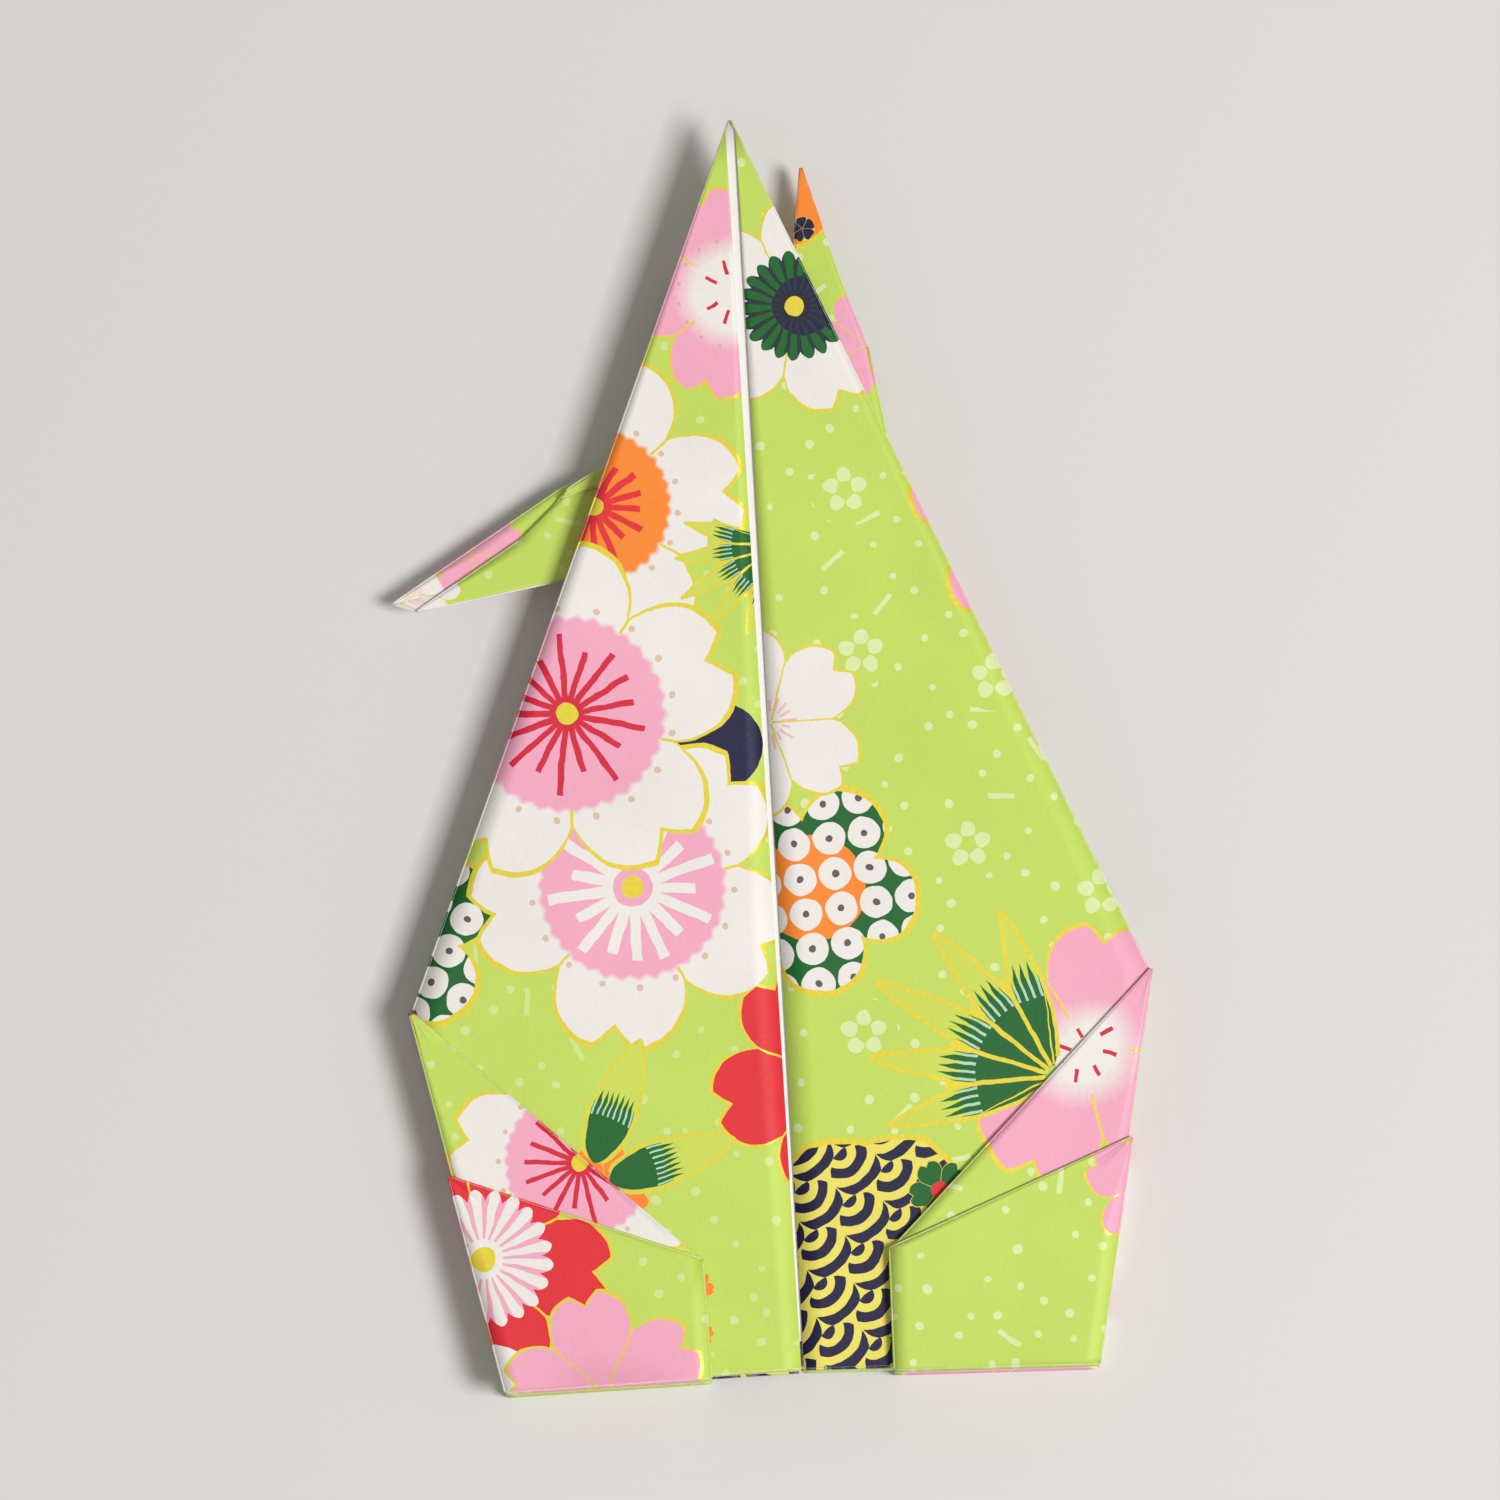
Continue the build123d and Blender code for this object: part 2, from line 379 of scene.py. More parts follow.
def keep(x, y, z, place, flip, crease, names):
    """Add one grid and its four-sided faces, turned round where the print faces down."""
    index = np.arange(x.size).reshape(x.shape) + sum(len(p) for p in points)
    ring = np.stack([index[:-1, :-1], index[:-1, 1:], index[1:, 1:], index[1:, :-1]], -1)
    ring = ring.reshape(-1, 4)
    points.append(np.stack([x, y, z], -1).reshape(-1, 3))
    sheet_places.append(place.reshape(-1, 2))
    quads.append(ring[:, ::-1] if flip else ring)
    creased.append(np.full(x.size, crease))
    of_head = any("head" in layer for _, layer in names)
    of_tail = any(side == "tail" and layer.endswith("up") for side, layer in names)
    in_head.append(np.full(x.size, of_head))
    in_tail.append(np.full(x.size, of_tail))


def on_sheet(key, half, x, y):
    """Place on the flat sheet: the panel's map, mirrored end to end for the back half."""
    turn, shift = panels[key]["place"]
    return (np.stack([x, y], -1) @ turn.T + shift) @ mirror_sheet[half]


def faces_down(key, half):
    """The print faces down where the map mirrors the sheet: its determinant is below 0."""
    return np.linalg.det(panels[key]["place"][0]) * half < 0


for half in (1, -1):
    for key, one in panels.items():
        grid = panel_surface(one["edges"], points_across, row_spacing)
        if grid is not None:
            x, y = grid
            z, place = height(one["step"], half, x, y), on_sheet(key, half, x, y)
            keep(x, y, z, place, faces_down(key, half), 0.0, [key])
    joints = [(a, b, fold, (half, half)) for a, b, fold in bends]
    if half > 0:
        joints += [(a, a, fold, (-1, 1)) for a, fold in spines]
    for a, b, fold, halves in joints:
        strip = bend_surface(a, b, fold, halves, bend_points)
        if strip is not None:
            x, y, z, x0, y0, share = strip
            first, last = on_sheet(a, halves[0], x0, y0), on_sheet(b, halves[1], x0, y0)
            place = first + (last - first) * share[:, None]
            keep(x, y, z, place, faces_down(a, halves[0]), 1.0, [a, b])
points, sheet_places, quads, creased, in_head, in_tail = (
    np.concatenate(part) for part in (points, sheet_places, quads, creased, in_head, in_tail)
)
reach = np.array([points.min(0), points.max(0)])
print("paper points:", len(points), " faces:", len(quads))
print("reach, mm:", np.round(reach, 3).tolist())

# %% [markdown]
# ## The head springs open and the tail slips
#
# A folded beak never stays quite shut. The front half of the head slides a little
# down and back, so the inner print of the back half shows as a narrow strip above it.
# The slide grows from nothing at the neck fold, so the paper stays whole. The raised
# tail slips up between the wings and in towards them in the same way, and its halves
# are pinched together towards the tip.

# %% Slide the front half of the head
slide_down, slide_back, half_gap = 0.8, 1.4, 0.08
down = centre_in[:2]
towards_neck = np.array([-down[1], down[0]])
from_neck = neck[2] - points[:, :2] @ neck[:2]
front = ease(points[:, 2], middle - half_gap, middle + half_gap)
share = in_head * ease(from_neck, 2, 9) * front
points[:, :2] += share[:, None] * (slide_down * down + slide_back * towards_neck)
print("points of the head that slide:", int((share > 0.5).sum()))

# %% Slip the tail up and pinch it
tail_inward, tail_upward = 0.7, 1.2
raised = points[:, 1].copy()
pinch = 0.55 * ease(raised, 8, 62) + 0.3 * ease(raised, 62, 76)
points[:, 2] -= (points[:, 2] - middle) * in_tail * pinch
points[:, 0] -= tail_inward * in_tail * ease(raised, 20, 58) * (1 - ease(raised, 62, 74))
points[:, 1] += tail_upward * in_tail * ease(raised, 20, 72)
print("highest point of the tail, mm:", round(points[in_tail, 1].max(), 2))

# %% One mesh in metres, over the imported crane
outline = points[:, :2]
shift_to_frame = (low[:2] + high[:2]) / 2 - (outline.min(0) + outline.max(0)) / 2
placed = points + np.append(shift_to_frame, low[2])
sheet_mesh = bpy.data.meshes.new("folded_sheet")
sheet_mesh.from_pydata((placed / 1000).tolist(), [], quads.tolist())
corner_points = np.empty(len(sheet_mesh.loops), dtype=np.int32)
sheet_mesh.loops.foreach_get("vertex_index", corner_points)
sheet_map = sheet_mesh.uv_layers.new(name="sheet")
sheet_map.data.foreach_set("uv", sheet_places[corner_points].astype(np.float32).ravel())
fold_wear = sheet_mesh.attributes.new("fold_wear", "FLOAT", "POINT")
fold_wear.data.foreach_set("value", creased.astype(np.float32))
sheet_mesh.polygons.foreach_set("use_smooth", np.ones(len(quads), dtype=bool))
crane = bpy.data.objects.new("folded_crane", sheet_mesh)
bpy.context.scene.collection.objects.link(crane)
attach(crane, "root")
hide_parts("paper_crane")
thick = crane.modifiers.new("paper thickness", "SOLIDIFY")
thick.thickness, thick.offset = paper / 1000, 0
thick.material_offset = thick.material_offset_rim = 1
print("shifted onto the frame by, mm:", np.round(shift_to_frame, 3))

# %% [markdown]
# ## Inks
#
# Chiyogami paper is screen printed: a few flat inks, then gold lines over their
# edges. A shape in such a print is a mask, a number that is 1 inside and 0 outside.
# The small class below lets a mask be written as arithmetic, and each sign in the
# arithmetic becomes one Math node.

# %% Arithmetic that builds nodes
class Ink:
    """A number that changes over the sheet; arithmetic on it adds Math nodes."""

    def __init__(self, tree, socket):
        self.tree, self.socket = tree, socket

    def math(self, operation, *others):
        node = self.tree.nodes.new("ShaderNodeMath")
        node.operation = operation
        for slot, value in zip(node.inputs, (self, *others)):
            plug(self.tree, slot, value)
        return Ink(self.tree, node.outputs[0])

    def __rsub__(self, other):
        return self.math("MULTIPLY_ADD", -1, other)

    def __abs__(self):
        return self.math("ABSOLUTE")


def sign(operation):
    """A sign between an ink and another ink or number, as one Math node."""
    return lambda ink, other: ink.math(operation, other)


Ink.__add__, Ink.__sub__ = sign("ADD"), sign("SUBTRACT")
Ink.__mul__, Ink.__truediv__ = sign("MULTIPLY"), sign("DIVIDE")
Ink.__lt__, Ink.__gt__ = sign("LESS_THAN"), sign("GREATER_THAN")
Ink.__and__, Ink.__or__ = sign("MULTIPLY"), sign("MAXIMUM")


def plug(tree, slot, value):
    """Link an ink or a socket into a slot, or write a plain number there."""
    if isinstance(value, Ink):
        tree.links.new(value.socket, slot)
    elif isinstance(value, bpy.types.NodeSocket):
        tree.links.new(value, slot)
    else:
        slot.default_value = value


def paint(red, green, blue):
    """A screen colour, 0 to 255, as the linear colour that a shader takes."""
    screen = np.array([red, green, blue]) / 255
    linear = np.where(screen > 0.04045, ((screen + 0.055) / 1.055) ** 2.4, screen / 12.92)
    return (*linear.tolist(), 1.0)


lime, cream, pink = paint(194, 218, 92), paint(236, 231, 224), paint(242, 168, 192)
red, stamen, orange = paint(226, 38, 48), paint(212, 26, 56), paint(250, 136, 38)
leaf_green, navy, gold = paint(4, 98, 32), paint(14, 8, 58), paint(241, 221, 68)
print("inks: lime, cream, pink, red, stamen red, orange, leaf green, navy and gold")

# %% Starting a motif
def start_motif(title, inputs, outputs):
    """A new node group that takes a place and some numbers, and gives masks."""
    tree = bpy.data.node_groups.new(title, "ShaderNodeTree")
    tree.interface.new_socket("Place", in_out="INPUT", socket_type="NodeSocketVector")
    for name in inputs:
        tree.interface.new_socket(name, in_out="INPUT", socket_type="NodeSocketFloat")
    for name in outputs:
        tree.interface.new_socket(name, in_out="OUTPUT", socket_type="NodeSocketFloat")
    entry = tree.nodes.new("NodeGroupInput")
    split = tree.nodes.new("ShaderNodeSeparateXYZ")
    tree.links.new(entry.outputs["Place"], split.inputs[0])
    x, y = Ink(tree, split.outputs["X"]), Ink(tree, split.outputs["Y"])
    return tree, x, y, [Ink(tree, entry.outputs[name]) for name in inputs]


def end_motif(tree, **masks):
    """Send the finished masks out of the group."""
    leave = tree.nodes.new("NodeGroupOutput")
    for name, mask in masks.items():
        plug(tree, leave.inputs[name], mask)
    print(tree.name, "motif:", len(tree.nodes), "nodes")


def polar(x, y):
    """Distance from the middle, and the turn round it from -0.5 to 0.5."""
    return (x * x + y * y).math("SQRT"), y.math("ARCTAN2", x) / (2 * np.pi)


# %% [markdown]
# ## The blossom
#
# Most of the print is five-petalled blossom: broad petals with a notch at the tip, a
# round disc with fine stamens, and a gold outline. One motif of radius 1 gives all of
# its masks. How large the disc is and how long the stamens are come in as numbers,
# so the same motif serves white, pink and red blossoms.

# %% Blossom motif
tree, x, y, (disc_size, ray_start, ray_end, ray_width) = start_motif(
    "blossom", ["Disc size", "Ray start", "Ray end", "Ray width"],
    ["Petal", "Outline", "Disc", "Rays", "Core", "Dots"],
)
petals, stamens, teeth, gold_line = 5, 17, 34, 0.017
r, turn = polar(x, y)
# 0 on a petal's own middle line, 1 in the valley between two petals
off_axis = abs((turn * petals + 0.5).math("FRACT") - 0.5) * 2
notch = (1 - off_axis / 0.22).math("MAXIMUM", 0) * 0.14
valley = off_axis.math("POWER", 3.0) * 0.36
edge = 1 - notch - valley
petal = r < edge
between = (1 - off_axis) * r * (np.pi / petals) < 0.009
outline = (abs(r - edge) < gold_line) | (between & petal & (r > disc_size))
saw = abs((turn * teeth).math("FRACT") - 0.5) * 0.09 + 0.98
# A disc with a few loose stamens fades into its petals; the others end in a soft saw edge
loose = ray_start > 0.15
fade = loose * 0.17 + 0.03
disc = ((disc_size * saw - r) / fade + 0.5).math("MAXIMUM", 0).math("MINIMUM", 1)
count = turn * stamens
ray_off = abs(count.math("FRACT") - 0.5) * r * (2 * np.pi / stamens)
# A sine of the stamen's number serves as its chance: how long it is, and whether it is there
chance = (count.math("FLOOR") * 78.2).math("SINE")
kept = (1 - loose) | (chance > 0.2)
rays = (ray_off < ray_width) & (r > ray_start) & (r < ray_end * (chance * 0.14 + 0.9)) & kept
from_ring = r - disc_size - 0.055
dots = (ray_off * ray_off + from_ring * from_ring < 0.02**2) & (disc_size > 0.4)
core = r < 0.065
end_motif(tree, Petal=petal, Outline=outline, Disc=disc, Rays=rays, Core=core, Dots=dots)

# %% [markdown]
# ## Daisy, pine sprig, tie-dyed spots and waves
#
# The smaller motifs are the usual ones on such paper. A daisy is one disc cut into
# many thin petals. A pine sprig is a fan of pointed leaves with dark needles at the
# base. Tie-dyed spots are rings on a square grid inside a scalloped patch. Waves are
# rows of overlapping half rings, each row set off by half a ring from the next.

# %% Daisy motif
tree, x, y, _ = start_motif("daisy", [], ["Bed", "Petals", "Core", "Ring", "Outer"])
r, turn = polar(x, y)
thin_petals = 21
thin = abs((turn * thin_petals).math("FRACT") - 0.5) * 2
bed = r < 1 - thin * thin * 0.16
shown = bed & (r > 0.24) & (thin < 0.62)
outer = r - x * 0.3 > 0.52
end_motif(tree, Bed=bed, Petals=shown, Core=r < 0.18, Ring=r < 0.29, Outer=outer)

# %% Pine sprig motif
tree, x, y, (leaf_limit, leaf_width) = start_motif(
    "pine_sprig", ["Leaves each side", "Leaf width"],
    ["Bed", "Leaf", "Outline", "Needles", "Frost"],
)
r, turn = polar(x, y)
spread, gold_line = 0.061, 0.0095
nearest_leaf = (turn / spread).math("ROUND")
nearest_leaf = nearest_leaf.math("MINIMUM", leaf_limit).math("MAXIMUM", leaf_limit * -1)
length = 1 - abs(nearest_leaf) * 0.07
aside = r * ((turn - nearest_leaf * spread) * (2 * np.pi)).math("SINE")
along = ((r / length - 0.06) / 0.94).math("MAXIMUM", 0).math("MINIMUM", 1)
half_width = (along.math("POWER", 0.8) * np.pi).math("SINE").math("POWER", 0.8) * leaf_width
within = (r < length) & (abs(turn) < 0.25)
leaf = (abs(aside) < half_width) & within
outline = (abs(abs(aside) - half_width) < gold_line) & (r > 0.1) & within
# The dark needles end in a ragged comb, tipped with small frosted strokes
comb = abs((aside * 26).math("FRACT") - 0.5)
needles = leaf & (r < comb * 0.26 + 0.46) & (abs(aside) < half_width * 0.86)
frost = needles & (r > 0.4) & (comb < 0.17)
# A sprig of several leaves has a bed under them and a gold vein between each two
full_fan = (abs(turn) < 0.15) & (leaf_limit > 1)
bed = leaf | ((r < 0.62) & full_fan)
halfway = abs(abs(turn / spread - nearest_leaf) - 0.5) * r * (2 * np.pi * spread)
vein = (halfway < 0.011) & (r > 0.06) & (r < 0.55) & full_fan
end_motif(tree, Bed=bed, Leaf=leaf, Outline=outline | vein, Needles=needles, Frost=frost)

# %% Tie-dyed spots motif
tree, x, y, _ = start_motif("tie_dyed_spots", [], ["Patch", "Outline", "Ring", "Eye", "Middle"])
r, turn = polar(x, y)
lobes, spots_across, gold_line = 5, 3.02, 0.03
lobe = abs((turn * lobes + 0.5).math("FRACT") - 0.5) * 2
edge = 1 - lobe.math("POWER", 2.6) * 0.34
# The grid of spots is turned: its two directions are x and y by a cosine and a sine
cosine, sine = 0.79, 0.61
grid_ways = (x * cosine + y * sine, y * cosine - x * sine)
aside, above = [(way * spots_across + 0.2).math("FRACT") - 0.5 for way in grid_ways]
spot_reach = (aside * aside + above * above).math("SQRT")
patch, outline = r < edge, abs(r - edge) < gold_line
ring, eye = patch & (spot_reach < 0.46), patch & (spot_reach < 0.1)
end_motif(tree, Patch=patch, Outline=outline, Ring=ring, Eye=eye, Middle=r < 0.5)

# %% Wave motif
tree, x, y, _ = start_motif("waves", [], ["Patch", "Outline", "Lines"])
r, turn = polar(x, y)
lobes, ring_size, gold_line = 7, 0.18, 0.022
ring_width, row_height = 2 * ring_size, 3.2 * ring_size
edge = abs((turn * lobes).math("FRACT") - 0.5) * 0.2 + 0.86


def wave_ring(shift):
    """Distance from the nearest ring's middle in every second row, and height above it."""
    sideways = ((x / ring_width + shift).math("FRACT") - 0.5) * ring_width
    upwards = ((y / row_height + shift).math("FRACT") - 0.5) * row_height
    return (sideways * sideways + upwards * upwards).math("SQRT"), upwards


one, one_up = wave_ring(0.0)
two, two_up = wave_ring(0.5)
first = one < two
ring, up = one.math("MINIMUM", two), one_up * first + two_up * (1 - first)
# Bands of ink about the foot of each wave: its square distance from the foot comes
# from its square distance from the middle, by the rule of cosines
set_back = 0.95 * ring_size
from_foot = (ring * ring + up * (2 * set_back) + set_back**2).math("SQRT") / ring_size
bands = (from_foot / 0.72 + 0.55).math("FRACT") > 0.45
lines = 1 - (bands & (ring < ring_size * 0.98))
end_motif(tree, Patch=r < edge, Outline=abs(r - edge) < gold_line, Lines=lines)

# %% [markdown]
# ## Laying out the print
#
# Every motif is noted by the panel that shows it and its place on that panel in
# millimetres, then carried back to the flat sheet by the panel's map. One node that
# multiplies and adds turns sheet millimetres into the motif's own circle of radius 1.
# Where several motifs of a sort are near each other, a spot on the paper takes the one
# whose middle is nearest by its own radius. A motif's kind and angle ride along in the
# third coordinate, so only the motif that was chosen has to be turned.

# %% The printed finish and its sheet coordinates
printed = bpy.data.materials.new("printed_paper")
printed.use_nodes = True
tree = printed.node_tree
sheet_uv = tree.nodes.new("ShaderNodeUVMap")
sheet_uv.uv_map = "sheet"


def vector_math(operation, *inputs):
    """One Vector Math node with its inputs in order."""
    node = tree.nodes.new("ShaderNodeVectorMath")
    node.operation = operation
    for slot, value in zip(node.inputs, inputs):
        plug(tree, slot, value)
    return node.outputs["Value" if operation == "LENGTH" else "Vector"]


def split_up(value, separate="ShaderNodeSeparateXYZ"):
    """The three numbers of a vector, or of a colour with the other kind of node."""
    node = tree.nodes.new(separate)
    tree.links.new(value, node.inputs[0])
    return [Ink(tree, socket) for socket in node.outputs]


def spin(vector, angle):
    """A vector turned on the sheet by an angle in radians."""
    node = tree.nodes.new("ShaderNodeVectorRotate")
    node.rotation_type = "Z_AXIS"
    tree.links.new(vector, node.inputs["Vector"])
    plug(tree, node.inputs["Angle"], angle)
    return node.outputs["Vector"]


# The print repeats after half a turn, except near the corners that become neck and tail
leg_corner = 70.0
s, t, _ = split_up(sheet_uv.outputs["UV"])
flip = 1 - ((t < 0) & (abs(s) < leg_corner)) * 2
half_turned = vector_math("MULTIPLY", sheet_uv.outputs["UV"], flip)
# Screens never lie quite true: a fine noise moves the edges by a tenth of a millimetre
drift_reach = 0.24
drift = tree.nodes.new("ShaderNodeTexNoise")
drift.noise_dimensions = "2D"
drift.inputs["Scale"].default_value = 0.7
drift.inputs["Detail"].default_value = 2.0
tree.links.new(half_turned, drift.inputs["Vector"])
drift_by = (drift_reach, drift_reach, 0)
sheet_place = vector_math("MULTIPLY_ADD", drift.outputs["Color"], drift_by, half_turned)
print("sheet coordinates in mm from the UV map:", sheet_uv.uv_map)


# %% Placing motifs
# The third coordinate counts kinds in thousandths, and the angle fills most of one step
rider, angle_start, angle_span = 0.001, 0.05, 0.9


def spot(side, layer, x, y, size, angle, kind=0, half=1):
    """Sheet millimetres brought to a motif's unit circle, with its kind and angle in z."""
    turn, shift = panels[(side, layer)]["place"]
    centre = mirror_sheet[half] @ (turn @ (x, y) + shift)
    way = mirror_sheet[half] @ turn @ (np.cos(np.radians(angle)), np.sin(np.radians(angle)))
    if centre[1] < 0 and abs(centre[0]) < leg_corner:
        centre, way = -centre, -way
    # The drift noise is 0.5 on average
    centre = centre + drift_reach / 2
    share = np.arctan2(way[1], way[0]) / (2 * np.pi) % 1
    riding = rider * (kind + angle_start + angle_span * share)
    scale = (1 / size, 1 / size, 0)
    return vector_math("MULTIPLY_ADD", sheet_place, scale, (*-centre / size, riding))


def nearest(spots):
    """The place in the nearest motif: the shorter of two lengths, again and again, then a turn."""
    chosen, shortest = spots[0], Ink(tree, vector_math("LENGTH", spots[0]))
    for place in spots[1:]:
        length = Ink(tree, vector_math("LENGTH", place))
        choice = tree.nodes.new("ShaderNodeMix")
        choice.data_type = "VECTOR"
        plug(tree, choice.inputs[0], length < shortest)
        tree.links.new(chosen, choice.inputs[4])
        tree.links.new(place, choice.inputs[5])
        chosen, shortest = choice.outputs[1], shortest.math("MINIMUM", length)
    share = (split_up(chosen)[2] * (1 / rider)).math("FRACT") - angle_start
    return spin(chosen, share * (-2 * np.pi / angle_span))


def stamp(title, place, **numbers):
    """Place a motif's group in the finish and return its masks by name."""
    node = tree.nodes.new("ShaderNodeGroup")
    node.node_tree = bpy.data.node_groups[title]
    tree.links.new(place, node.inputs["Place"])
    for name, value in numbers.items():
        plug(tree, node.inputs[name.replace("_", " ")], value)
    return {socket.name: Ink(tree, socket) for socket in node.outputs}


def by_kind(place, rows):
    """A ColorRamp with one flat step for each kind, read at the kind that rides in z."""
    ramp = tree.nodes.new("ShaderNodeValToRGB")
    ramp.color_ramp.interpolation = "CONSTANT"
    steps = ramp.color_ramp.elements
    while len(steps) < len(rows):
        steps.new(1.0)
    for index, row in enumerate(rows):
        steps[index].position = index / len(rows)
        steps[index].color = row
    plug(tree, ramp.inputs[0], split_up(place)[2] * (1 / rider / len(rows)))
    return ramp.outputs


def print_over(below, mask, ink):
    """Lay an ink over what is printed so far, where its mask is 1."""
    node = tree.nodes.new("ShaderNodeMix")
    node.data_type = "RGBA"
    plug(tree, node.inputs[0], mask)
    plug(tree, node.inputs[6], below)
    plug(tree, node.inputs[7], ink)
    return node.outputs[2]


# %% [markdown]
# ## The ground
#
# The ground is lime with small pale dots, short pale dashes and little flowers of
# five dots. Dots and dashes are scattered by a Voronoi texture, whose cells each have
# a middle and a random colour: the colour turns the dash and says which cells keep it.

# %% Scattered dots and dashes
dot_cell, dash_cell, dash_jitter = 2.1, 4.3, 0.5


def scatter(cell, jitter, place):
    """Cells about this many millimetres wide: a cell's middle, place and reach from it, colour."""
    node = tree.nodes.new("ShaderNodeTexVoronoi")
    node.voronoi_dimensions = "2D"
    node.inputs["Scale"].default_value = 1 / cell
    node.inputs["Randomness"].default_value = jitter
    tree.links.new(place, node.inputs["Vector"])
    cell_middle = node.outputs["Position"]
    from_middle = vector_math("SUBTRACT", place, cell_middle)
    reach = Ink(tree, node.outputs["Distance"]) * cell
    chance = split_up(node.outputs["Color"], "ShaderNodeSeparateColor")
    return cell_middle, from_middle, reach, chance


dot_middle, _, dot_reach, dot_chance = scatter(dot_cell, 0.55, sheet_place)
_, dash_place, _, dash_chance = scatter(dash_cell, dash_jitter, sheet_place)
# A dot whose middle lies close to a dash is left out whole
_, _, dot_to_dash, _ = scatter(dash_cell, dash_jitter, dot_middle)
dots = (dot_reach < dot_chance[1] * 0.09 + 0.2) & (dot_chance[0] > 0.12) & (dot_to_dash > 1.1)
along, across, _ = split_up(spin(dash_place, dash_chance[0] * 6.28))
dashes = (abs(along) < 0.8) & (abs(across) < 0.15) & (dash_chance[1] > 0.58)
print("dots about every", dot_cell, "mm, dashes about every", dash_cell, "mm")

# %% Little flowers, and the ground with all its marks
tiny = [(5.7, 51.6), (6.1, 41.6), (14.1, 39.6), (11.9, 29.4), (19.7, 26.0), (4.9, 18.3)]
tiny_place = nearest([spot("tail", "face", x, y, 1.0, 90) for x, y in tiny])
r, turn = polar(*split_up(tiny_place)[:2])
sideways = ((turn * 5 + 0.5).math("FRACT") - 0.5) * r * (2 * np.pi / 5)
five_dots = (sideways * sideways + (r - 0.95) * (r - 0.95)).math("SQRT") < 0.47
clear = r > 2.1
pale_marks = five_dots | ((dots | dashes) & clear)
# The marks are fainter on the neck's side of the sheet
faint = (s * flip > 0) * -0.26 + 0.64
ground = print_over(lime, pale_marks * faint, paint(232, 240, 194))
print("little flowers:", len(tiny), " nodes so far:", len(tree.nodes))

# %% [markdown]
# ## Tie-dyed patches, waves and blossoms
#
# The screens go on in the order of a printer: patches first, then blossoms, then the
# pine sprigs that overlap them, and last the daisies. Each kind of blossom has its
# petal, disc and stamen ink in a ramp, so one set of nodes prints all of them.

# %% Patches of spots and waves
spot_patches = [("tail", "face", 2.3, 27.3, 6.5, 59), ("neck", "face", -23.4, 26.2, 6.6, 20, 1)]
spots_place = nearest([spot(*entry) for entry in spot_patches])
spots = stamp("tie_dyed_spots", spots_place)
middle_ink = by_kind(spots_place, [orange, leaf_green])[0]
patch_ink = print_over(leaf_green, spots["Middle"], middle_ink)
patch_ink = print_over(patch_ink, spots["Ring"], cream)
patch_ink = print_over(patch_ink, spots["Eye"], paint(96, 84, 92))
printed_ink = print_over(ground, spots["Patch"], patch_ink)

waves = stamp("waves", nearest([spot("tail", "face", 4.6, 4.2, 8.6, 219)]))
wave_ink = print_over(navy, waves["Lines"], paint(236, 222, 96))
printed_ink = print_over(printed_ink, waves["Patch"], wave_ink)
wedge = Ink(tree, vector_math("LENGTH", spot("neck", "face", -2.9, 36.3, 2.7, 0)))
printed_ink = print_over(printed_ink, wedge < 1, navy)
gold_lines = spots["Outline"] | waves["Outline"]
print("patches of spots:", len(spot_patches), " nodes so far:", len(tree.nodes))

# %% Inks and shapes of the blossoms
# Petal, disc and stamen ink; then disc size, where the stamens start and end, half their width
plain_shape = (0.02, 0.0, 0.0, 0.0)
kinds = {
    "orange disc": (cream, orange, red, (0.50, 0.06, 0.36, 0.021)),
    "red stamens": (cream, pink, stamen, (0.56, 0.05, 0.46, 0.018)),
    "white stamens": (cream, pink, cream, (0.56, 0.12, 0.50, 0.032)),
    "pink": (pink, cream, stamen, (0.45, 0.17, 0.30, 0.016)),
    "plain pink": (pink, pink, pink, plain_shape),
    "red": (red, red, red, plain_shape),
    "white": (cream, cream, paint(236, 190, 190), (0.02, 0.12, 0.28, 0.014)),
    "orange": (orange, orange, orange, plain_shape),
    "navy": (navy, navy, navy, plain_shape),
    "green": (leaf_green, red, red, (0.28, 0.0, 0.0, 0.0)),
    "faded pink": (pink, cream, stamen, (0.34, 0.16, 0.25, 0.014)),
}
kind_names = list(kinds)
petal_inks, disc_inks, ray_inks, shapes = zip(*kinds.values())
print("kinds of blossom:", len(kinds))


def print_blossoms(entries, below, gold_below):
    """One screen of blossoms: choose the nearest, read its inks by kind, lay them on."""
    place = nearest([
        spot(*entry[:6], kind_names.index(entry[6]), *entry[7:]) for entry in entries
    ])
    shape, ray_width = by_kind(place, shapes)
    disc_size, ray_start, ray_end = split_up(shape, "ShaderNodeSeparateColor")
    masks = stamp(
        "blossom", place,
        Disc_size=disc_size, Ray_start=ray_start, Ray_end=ray_end, Ray_width=ray_width,
    )
    ink = print_over(by_kind(place, petal_inks)[0], masks["Disc"], by_kind(place, disc_inks)[0])
    ink = print_over(ink, masks["Rays"], by_kind(place, ray_inks)[0])
    ink = print_over(ink, masks["Dots"] * 0.7, paint(214, 170, 128))
    core = masks["Core"] & (disc_size > 0.48)
    gold_now = (gold_below & (1 - masks["Petal"])) | masks["Outline"] | core
    print("blossoms on this screen:", len(entries), " nodes so far:", len(tree.nodes))
    return print_over(below, masks["Petal"], ink), gold_now


